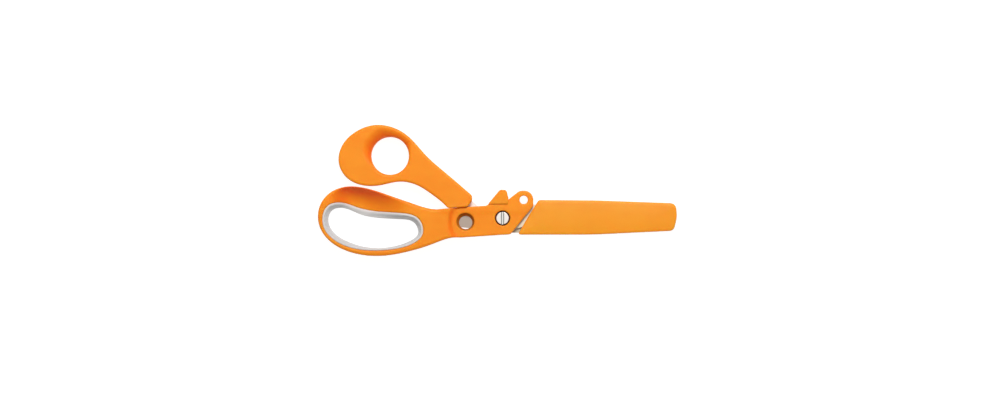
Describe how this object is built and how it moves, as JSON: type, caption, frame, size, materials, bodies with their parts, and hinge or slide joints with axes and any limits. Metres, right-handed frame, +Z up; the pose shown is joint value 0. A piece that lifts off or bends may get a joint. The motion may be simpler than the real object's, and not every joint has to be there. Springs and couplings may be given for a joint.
{
  "type": "fabric shears",
  "caption": "Bent-handle fabric shears with a long finger bow, a round thumb bow, a screwed pivot, a thumb-tab blade lock and a slide-off blade sheath.",
  "frame": {"origin": "on the blade pivot's axis, on the underside of the pivot nut, which is the plane that the shears lie on", "axes": "+X along the closed blades to their tips, +Y towards the thumb handle, +Z up out of the face with the pivot screw's head"},
  "size_m": [0.2394, 0.0875, 0.013],
  "materials": {
    "orange_plastic": "satin moulded orange nylon",
    "lever_plastic": "satin moulded orange acetal",
    "sheath_plastic": "satin moulded orange polypropylene",
    "soft_grip": "matte light grey soft-touch elastomer",
    "blade_steel": "ground stainless",
    "screw_steel": "bright nickel plated",
    "spring_steel": "spring steel",
    "slip_washer": "natural acetal",
    "black_plastic": "satin black acetal"
  },
  "bodies": {
    "finger_half": {"finger_handle": "orange_plastic", "finger_grip_liner": "soft_grip", "finger_blade": "blade_steel", "pivot_screw": "screw_steel", "pivot_nut": "screw_steel", "pivot_bush": "screw_steel", "pivot_head_washer": "black_plastic", "blade_washer": "slip_washer", "pivot_wave_washer": "spring_steel", "lock_pin": "screw_steel", "lock_wave_washer": "spring_steel"},
    "thumb_half": {"thumb_handle": "orange_plastic", "thumb_blade": "blade_steel"},
    "lock_lever": {"lock_lever": "lever_plastic"},
    "sheath": {"sheath": "sheath_plastic"}
  },
  "joints": [
    {"name": "blade_pivot", "type": "hinge", "parent": "finger_half", "child": "thumb_half", "pos_m": [0, 0, 0.0034], "axis": [0, 0, -1], "range_deg": [0, 45]},
    {"name": "lock_lever_pivot", "type": "hinge", "parent": "finger_half", "child": "lock_lever", "pos_m": [-0.008, 0.0065, 0.0062], "axis": [0, 0, -1], "range_deg": [0, 12]},
    {"name": "sheath_slide", "type": "slide", "parent": "finger_half", "child": "sheath", "axis": [1, 0, 0], "range_m": [0, 0.12]}
  ]
}
